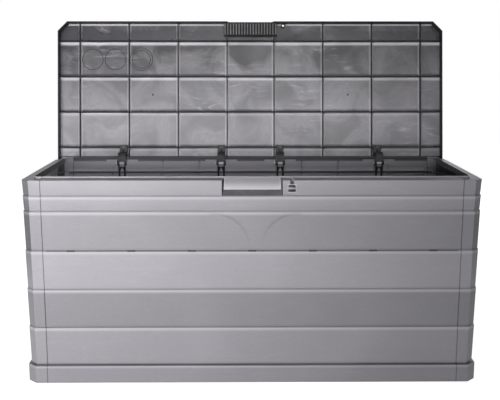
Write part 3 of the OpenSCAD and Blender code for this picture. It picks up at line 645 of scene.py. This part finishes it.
# Inner faces of the side walls and the recess's right end: a darker resin that stands in for their shade
INNER_SHADED_RESIN = plain_resin("inner wall shaded resin", srgb(77, 75, 79), srgb(98, 97, 101), 6.0, 0.4, 0.4)
# The recess's ramp: a darker resin that stands in for its shade
RECESS_SHADED_RESIN = plain_resin("recess ramp shaded resin", srgb(82, 81, 85), srgb(109, 107, 111), 8.0, 0.36, 0.4)
# Pale resin of the catch lip: a painted highlight
LIP_HIGHLIGHT_RESIN = plain_resin("catch lip highlight resin", srgb(178, 175, 182), srgb(206, 203, 210), 30.0, 0.35)
GRIP_RESIN = plain_resin("dark grip resin", srgb(23, 23, 25), srgb(37, 37, 39), 20.0, 0.5, 0.2)
GRIP_RIB_RESIN = plain_resin("pale grip rib tips", srgb(93, 93, 95), srgb(128, 126, 130), 40.0, 0.42, 0.4)
HINGE_RESIN = plain_resin("black hinge resin", srgb(26, 26, 27), srgb(42, 42, 45), 60.0, 0.4, 0.25)
ZINC = steel_material("zinc plated steel", srgb(196, 197, 200), srgb(222, 223, 226))
BLACK_STEEL = steel_material("blackened steel", srgb(48, 48, 50), srgb(70, 69, 71))


# ---- mesh helpers ----

# Vertices closer than this are merged, and faces that meet flatter than this become one
MERGE = 0.01 * MM
FLAT = math.radians(0.1)
# Edges sharper than this are softened, and edges sharper than this keep a hard line
SOFTENED = math.radians(28)
HARD_LINE = math.radians(35)
# A bevel needs corners of at least this sine beside it, and room for this many times its width
LEAST_SLOPE = 0.12
LEAST_ROOM = 2.6


def add_piece(name, mesh_maker, material):
    """New piece from a bmesh, with its place in its mesh."""
    mesh = bpy.data.meshes.new(name)
    mesh_maker.to_mesh(mesh)
    mesh_maker.free()
    mesh.materials.append(material)
    piece = bpy.data.objects.new(name, mesh)
    bpy.context.scene.collection.objects.link(piece)
    return piece


def has_room(edge, width):
    """Whether a bevel of this width fits at both ends of an edge."""
    for vert in edge.verts:
        for loop in vert.link_loops:
            slope = math.sin(min(loop.calc_angle(), math.pi / 2))
            short = min(loop.edge.calc_length(), loop.link_loop_prev.edge.calc_length())
            if slope < LEAST_SLOPE or short * slope < LEAST_ROOM * width:
                return False
    return True


def softened_copy(node, name, material, width):
    """Copy of a CAD node, merged, with a bevel of this width on its free sharp edges."""
    soft = bmesh.new()
    soft.from_mesh(frame["nodes"][node].data)
    bmesh.ops.remove_doubles(soft, verts=soft.verts, dist=MERGE)
    bmesh.ops.dissolve_limit(soft, angle_limit=FLAT, verts=soft.verts, edges=soft.edges)
    bmesh.ops.connect_verts_concave(soft, faces=soft.faces)
    free_edges = [
        edge for edge in soft.edges
        if edge.is_manifold and edge.calc_face_angle(0) > SOFTENED and has_room(edge, width)
    ]
    bmesh.ops.bevel(
        soft, geom=free_edges, offset=width, offset_type="OFFSET", segments=2, profile=0.5,
        affect="EDGES", material=-1, clamp_overlap=False)
    for face in soft.faces:
        face.smooth = True
    for edge in soft.edges:
        edge.smooth = not (edge.is_manifold and edge.calc_face_angle(0) > HARD_LINE)
    piece = add_piece(name, soft, material)
    even = piece.modifiers.new("even normals", "WEIGHTED_NORMAL")
    even.keep_sharp = True
    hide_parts(node)
    return piece


# ---- walls and plinth ----

WALL_EDGE = 0.4 * MM
# Finger recess in the front panel: half its width, its foot, the top of its ramp, and its depths
RECESS_HALF = 80 * MM
RECESS_FOOT = RIM_Z - NARROW_BOARD
RAMP_TOP = RIM_Z - 20 * MM
RECESS_MOUTH_Y = -217 * MM
RECESS_BACK_Y = -199 * MM
# Material slots of a wall: boards, inner faces, three faces of the recess and corner posts
BOARDS, INNER, RAMP, BACK, LEFT_END, CORNER = range(6)


def wall_finish(face, node):
    """Material slot of a wall's face."""
    middle, way = face.center, face.normal
    if node == "left_side_panel" and way.x > 0.5 or node == "right_side_panel" and way.x < -0.5:
        # Inner faces get the darker resin: painted shade
        return INNER
    in_recess = abs(middle.x) < RECESS_HALF and RECESS_FOOT - MM < middle.z < RIM_Z + MM
    if node == "front_panel" and in_recess and middle.y < RECESS_BACK_Y:
        # The recess's ends and ramp get darker resins for painted shade, and its back a resin with painted
        # light and shade
        if abs(way.x) > 0.5:
            return INNER if way.x < 0 else LEFT_END
        if way.z > 0.35 and middle.z < RAMP_TOP:
            return RAMP
        if way.y < -0.6 and middle.y > RECESS_MOUTH_Y:
            return BACK
    outward = way.x * middle.x > 0 and way.y * middle.y > 0
    if "side" in node and outward and min(abs(way.x), abs(way.y)) > 0.5:
        # Corner posts get the resin with painted shade
        return CORNER
    return BOARDS


for node, name, material in (
    ("base_tray", "plinth_tray", PLINTH_RESIN),
    ("front_panel", "front_boards", BOARD_RESIN),
    ("rear_panel", "rear_boards", REAR_SHADED_RESIN),
    ("left_side_panel", "left_boards", BOARD_RESIN),
    ("right_side_panel", "right_boards", BOARD_RESIN),
):
    wall = softened_copy(node, name, material, WALL_EDGE)
    for finish in (INNER_SHADED_RESIN, RECESS_SHADED_RESIN, RECESS_BACK, RIB_SHADED_RESIN, CORNER_SHADED_RESIN):
        wall.data.materials.append(finish)
    for face in wall.data.polygons:
        face.material_index = wall_finish(face, node)
    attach(wall, "box")


# ---- lid ----

# The ribs and the rim stand out of the lid's underside by more than this
RIB_UP = 2 * MM
# Gate marks are small faces that stand out of the underside, on the ribs this far from the middle
GATE_X = 2 * RIB_PITCH
GATE_HALF = 4 * MM
GATE_UP = 0.7 * MM
GATE_FACE = 30 * MM * MM
# The chamfered corners lie farther from the middle than this
LID_CORNER_X = 540 * MM
# Material slots of the lid
UNDERSIDE, OUTSIDE, RIBS = range(3)


def lid_finish(face):
    """Material slot of a face of the lid, told by its place and its normal when the lid is shut."""
    middle, way = CLOSING @ face.center, CLOSING.to_3x3() @ face.normal
    on_skirt = abs(middle.x) > SKIRT_FACE_X or middle.y < LID_FRONT + MM or middle.y > LID_REAR - MM
    outward = way.x * middle.x > 0 and way.y * middle.y > 0
    on_corner = outward and min(abs(way.x), abs(way.y)) > 0.4 and abs(middle.x) > LID_CORNER_X
    if way.z > 0.5 or on_skirt or on_corner:
        return OUTSIDE
    by_gate = abs(abs(middle.x) - GATE_X) < GATE_HALF and middle.z < LID_UNDER - GATE_UP
    if middle.z < LID_UNDER - RIB_UP or by_gate and face.area < GATE_FACE:
        return RIBS
    return UNDERSIDE


lid = softened_copy("lid_shell", "ribbed_lid", LID_INNER, WALL_EDGE)
lid.data.materials.append(LID_SKIN)
lid.data.materials.append(RIB_SHADED_RESIN)
for face in lid.data.polygons:
    face.material_index = lid_finish(face)
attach(lid, "lid")


# ---- padlock catch ----

# The window in the front panel: its middle, its size and the face of the board round it
CATCH_X = 101 * MM
CATCH_Z = 519 * MM
CATCH_W = 19 * MM
CATCH_H = 18 * MM
CATCH_FACE = -221 * MM
# The lip round it: its width, how far it stands out of the face and goes into it, and its bevel
LIP_W = 1.6 * MM
LIP_UP = 1.1 * MM
LIP_EDGE = 0.25 * MM


def catch_lip():
    """Lip round the catch window, from a plate whose middle is cut away."""
    lip = bmesh.new()
    bmesh.ops.create_grid(lip, x_segments=1, y_segments=1, size=0.5)
    size = Matrix.Diagonal((CATCH_W + 2 * LIP_W, CATCH_H + 2 * LIP_W, 1, 1))
    bmesh.ops.transform(lip, matrix=Matrix.Rotation(math.pi / 2, 4, "X") @ size, verts=lip.verts)
    bmesh.ops.inset_region(
        lip, faces=lip.faces, thickness=LIP_W, use_boundary=True, use_even_offset=True)
    middle = min(lip.faces, key=lambda face: face.calc_center_median().length)
    bmesh.ops.delete(lip, geom=[middle], context="FACES")
    bmesh.ops.translate(lip, verts=lip.verts, vec=(CATCH_X, CATCH_FACE + LIP_UP, CATCH_Z))
    grown = bmesh.ops.extrude_face_region(lip, geom=lip.faces[:])["geom"]
    raised = [part for part in grown if isinstance(part, bmesh.types.BMVert)]
    bmesh.ops.translate(lip, verts=raised, vec=(0, -2 * LIP_UP, 0))
    bmesh.ops.recalc_face_normals(lip, faces=lip.faces)
    sharp = [edge for edge in lip.edges if edge.calc_face_angle(0) > SOFTENED]
    bmesh.ops.bevel(
        lip, geom=sharp, offset=LIP_EDGE, offset_type="OFFSET", segments=2, profile=0.5,
        affect="EDGES", material=-1)
    return lip


lip = add_piece("catch_lip", catch_lip(), LIP_HIGHLIGHT_RESIN)
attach(lip, "box")


# ---- grip and hinges ----

GRIP_EDGE = 0.3 * MM
# The ribs of the shut grip are paler up to this far over its lowest point
GRIP_PALE_H = 0.4 * MM
# Material slot of the paler rib tips
PALE_TIPS = 1

grip = softened_copy("grip_insert", "lid_grip", GRIP_RESIN, GRIP_EDGE)
grip.data.materials.append(GRIP_RIB_RESIN)
grip_foot = min((CLOSING @ vert.co).z for vert in grip.data.vertices)
for face in grip.data.polygons:
    if (CLOSING @ face.center).z < grip_foot + GRIP_PALE_H:
        face.material_index = PALE_TIPS
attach(grip, "lid")

HINGE_FINISHES = {
    "hinge_arm": HINGE_RESIN,
    "hinge_bracket": HINGE_RESIN,
    "hinge_pin": ZINC,
    "arm_screws": BLACK_STEEL,
    "bracket_screws": BLACK_STEEL,
}
for node, solid in frame["nodes"].items():
    for kind, finish in HINGE_FINISHES.items():
        if node.startswith(kind):
            solid.data.materials.clear()
            solid.data.materials.append(finish)


# ---- rings moulded inside the lid ----

# Each ring's place across the lid and its radius, and the rings' distance from the front edge
RINGS = ((-488 * MM, 32 * MM), (-418 * MM, 32 * MM), (-338 * MM, 35 * MM), (-338 * MM, 28 * MM))
RING_DEPTH = 112 * MM
# Section of a ring, across and up from the lid's underside, with its foot in the resin
RING_SECTION = ((-1.0 * MM, 0.3 * MM), (-0.6 * MM, -0.5 * MM), (0.6 * MM, -0.5 * MM), (1.0 * MM, 0.3 * MM))
RING_STEPS = 64


def moulded_ring(x, radius):
    """Plain raised ring under the lid, centred at x."""
    ring = bmesh.new()
    y = LID_FRONT + RING_DEPTH
    profile = [ring.verts.new((x + radius + across, y, LID_UNDER + up)) for across, up in RING_SECTION]
    edges = [ring.edges.new(ends) for ends in zip(profile, profile[1:] + profile[:1])]
    bmesh.ops.spin(
        ring, geom=profile + edges, cent=(x, y, LID_UNDER), axis=(0, 0, 1), angle=2 * math.pi,
        steps=RING_STEPS, use_merge=True)
    bmesh.ops.remove_doubles(ring, verts=ring.verts, dist=MERGE)
    bmesh.ops.recalc_face_normals(ring, faces=ring.faces)
    bmesh.ops.transform(ring, matrix=OPENING, verts=ring.verts)
    return ring


for count, (x, radius) in enumerate(RINGS, 1):
    ring = add_piece(f"lid_ring_{count}", moulded_ring(x, radius), RIB_SHADED_RESIN)
    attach(ring, "lid")


# ---- studio ----

# Half the side of the floor, and how far it lies under the box
FLOOR_HALF = 9.0
FLOOR_DROP = 0.5 * MM
# Colour of the floor where it is seen or mirrored, and for the light that it throws back
FLOOR_SEEN = (0.9, 0.9, 0.9, 1)
FLOOR_BOUNCE = (0.25, 0.25, 0.25, 1)
# Distances from the box over which the floor's glow goes from its near level to its far one
FLOOR_REACH = (0.7, 2.4)
FLOOR_GLOW = (0.88, 0.98)
# Level of the surroundings as light
SKY_LEVEL = 0.035


def floor_material():
    """White where it is seen or mirrored, with the shadow kept, and darker for the light it throws back."""
    material, tree, shader = new_material("white floor", roughness=0.9, specular_ior_level=0.0)
    rays = tree.nodes.new("ShaderNodeLightPath").outputs
    seen = calculate(tree, "MAXIMUM", rays["Is Camera Ray"], rays["Is Glossy Ray"])
    two_tone(tree, shader, FLOOR_BOUNCE, FLOOR_SEEN, seen)
    away = vector_node(tree, "LENGTH", object_place(tree))["Value"]
    glow = tree.nodes.new("ShaderNodeEmission")
    plug(tree, product(tree, seen, fade(tree, away, *FLOOR_REACH, *FLOOR_GLOW)), glow.inputs["Strength"])
    both = tree.nodes.new("ShaderNodeAddShader")
    plug(tree, shader.outputs["BSDF"], both.inputs[0])
    plug(tree, glow.outputs["Emission"], both.inputs[1])
    plug(tree, both.outputs["Shader"], tree.nodes["Material Output"].inputs["Surface"])
    return material


def studio_world():
    """Pale surroundings: white where the camera, gloss or glass looks, a plain level for the rest."""
    world = bpy.data.worlds.new("studio")
    bpy.context.scene.world = world
    world.use_nodes = True
    tree = world.node_tree
    sky = tree.nodes["Background"]
    sky.inputs["Color"].default_value = (1, 1, 1, 1)
    rays = tree.nodes.new("ShaderNodeLightPath").outputs
    white = calculate(tree, "MAXIMUM", rays["Is Camera Ray"], rays["Is Glossy Ray"])
    clear = calculate(tree, "MAXIMUM", white, rays["Is Transmission Ray"])
    plug(tree, fade(tree, clear, 0.0, 1.0, SKY_LEVEL, 1.0, smooth=False), sky.inputs["Strength"])


def soft_box(name, place_at, aim, width, height, power, spread=180):
    """Rectangular lamp aimed at a point; a small spread in degrees acts as a grid on it."""
    lamp = bpy.data.lights.new(name, "AREA")
    lamp.shape = "RECTANGLE"
    lamp.size = width
    lamp.size_y = height
    lamp.energy = power
    lamp.spread = math.radians(spread)
    holder = bpy.data.objects.new(name, lamp)
    holder.location = place_at
    way = Vector(aim) - Vector(place_at)
    holder.rotation_euler = way.to_track_quat("-Z", "Y").to_euler()
    bpy.context.scene.collection.objects.link(holder)


ground = bmesh.new()
bmesh.ops.create_grid(ground, x_segments=1, y_segments=1, size=FLOOR_HALF)
bmesh.ops.translate(ground, verts=ground.verts, vec=(0, 0, -FLOOR_DROP))
add_piece("studio_floor", ground, floor_material())
studio_world()

# Place, aim, width, height, power and spread of each lamp
soft_box("front_light", (-0.65, -3.2, 0.42), (-0.35, -0.2, 0.4), 1.9, 0.8, 30)
soft_box("left_light", (-1.2, -3.0, 0.5), (-0.9, -0.2, 0.45), 1.4, 0.7, 7.5, 60)
soft_box("cross_light", (0.9, -3.0, 1.25), (-0.6, -0.22, 0.45), 0.7, 0.7, 1.4, 40)
soft_box("upper_light", (0.0, -3.0, 1.9), (-0.3, 0.28, 0.62), 1.4, 0.6, 1.25, 50)
soft_box("rear_light", (0.5, 3.4, 0.6), (0, 0.25, 0.5), 1.9, 0.8, 16)
soft_box("rear_left_light", (-3.0, 2.3, 0.7), (-0.6, 0.1, 0.4), 1.2, 0.8, 9, 90)
soft_box("rear_right_light", (3.0, 2.3, 0.7), (0.6, 0.1, 0.4), 1.2, 0.8, 9, 90)


# ---- camera ----

CAMERA_AT = (-0.0257, -2.3387, 0.8621)
# How far the camera looks down and turns, in degrees, and its lens and sensor, in millimetres
CAMERA_DOWN = 9.99
CAMERA_TURN = -0.53
FOCAL_LENGTH = 60.68
SENSOR_WIDTH = 36

lens = bpy.data.cameras.new("camera")
lens.sensor_width = SENSOR_WIDTH
lens.lens = FOCAL_LENGTH
camera = bpy.data.objects.new("camera", lens)
camera.location = CAMERA_AT
camera.rotation_euler = (math.radians(90 - CAMERA_DOWN), 0, math.radians(CAMERA_TURN))
bpy.context.scene.collection.objects.link(camera)
bpy.context.scene.camera = camera
bpy.context.scene.view_settings.view_transform = "Standard"
